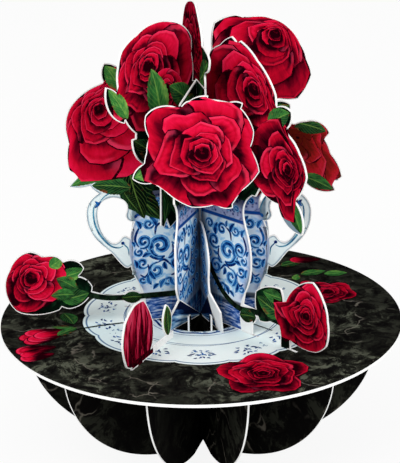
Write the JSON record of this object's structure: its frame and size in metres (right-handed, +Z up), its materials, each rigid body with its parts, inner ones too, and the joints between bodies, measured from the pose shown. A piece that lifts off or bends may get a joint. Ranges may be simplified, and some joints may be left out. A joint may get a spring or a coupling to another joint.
{
  "type": "pop up card",
  "caption": "Open pop-up card: radial die-cut leaves form a two-handled vase of roses on a round table top, over a bowl of upright card ribs.",
  "frame": {"origin": "under the middle of the bowl, on the surface that the card stands on", "axes": "+Z up along the spine, -Y towards the front of the card, +X to its right"},
  "size_m": [0.16, 0.16, 0.1818],
  "materials": {
    "table_card": "satin black marble print on white card",
    "bowl_card": "satin black marble print on white card",
    "leaf_card": "white card with printed vase, leaves and roses, satin",
    "rose_card": "red rose print on white card, satin"
  },
  "bodies": {
    "root": {"table_top": "table_card", "bowl_rib_01": "bowl_card", "bowl_rib_02": "bowl_card", "bowl_rib_03": "bowl_card", "bowl_rib_04": "bowl_card", "bowl_rib_05": "bowl_card", "bowl_rib_06": "bowl_card", "bowl_rib_07": "bowl_card", "bowl_rib_08": "bowl_card", "bowl_rib_09": "bowl_card", "bowl_rib_10": "bowl_card", "bowl_rib_11": "bowl_card", "bowl_rib_12": "bowl_card", "leaf_left_handle": "leaf_card", "leaf_left_rose": "leaf_card", "leaf_front_left": "leaf_card", "leaf_front_mid": "leaf_card", "leaf_front_right": "leaf_card", "leaf_right_handle": "leaf_card", "leaf_rear_right": "leaf_card", "leaf_rear_1": "leaf_card", "leaf_rear_2": "leaf_card", "leaf_top_rose": "leaf_card", "leaf_rear_3": "leaf_card", "leaf_rear_left": "leaf_card", "front_rose": "rose_card", "table_bud": "rose_card"}
  },
  "joints": []
}
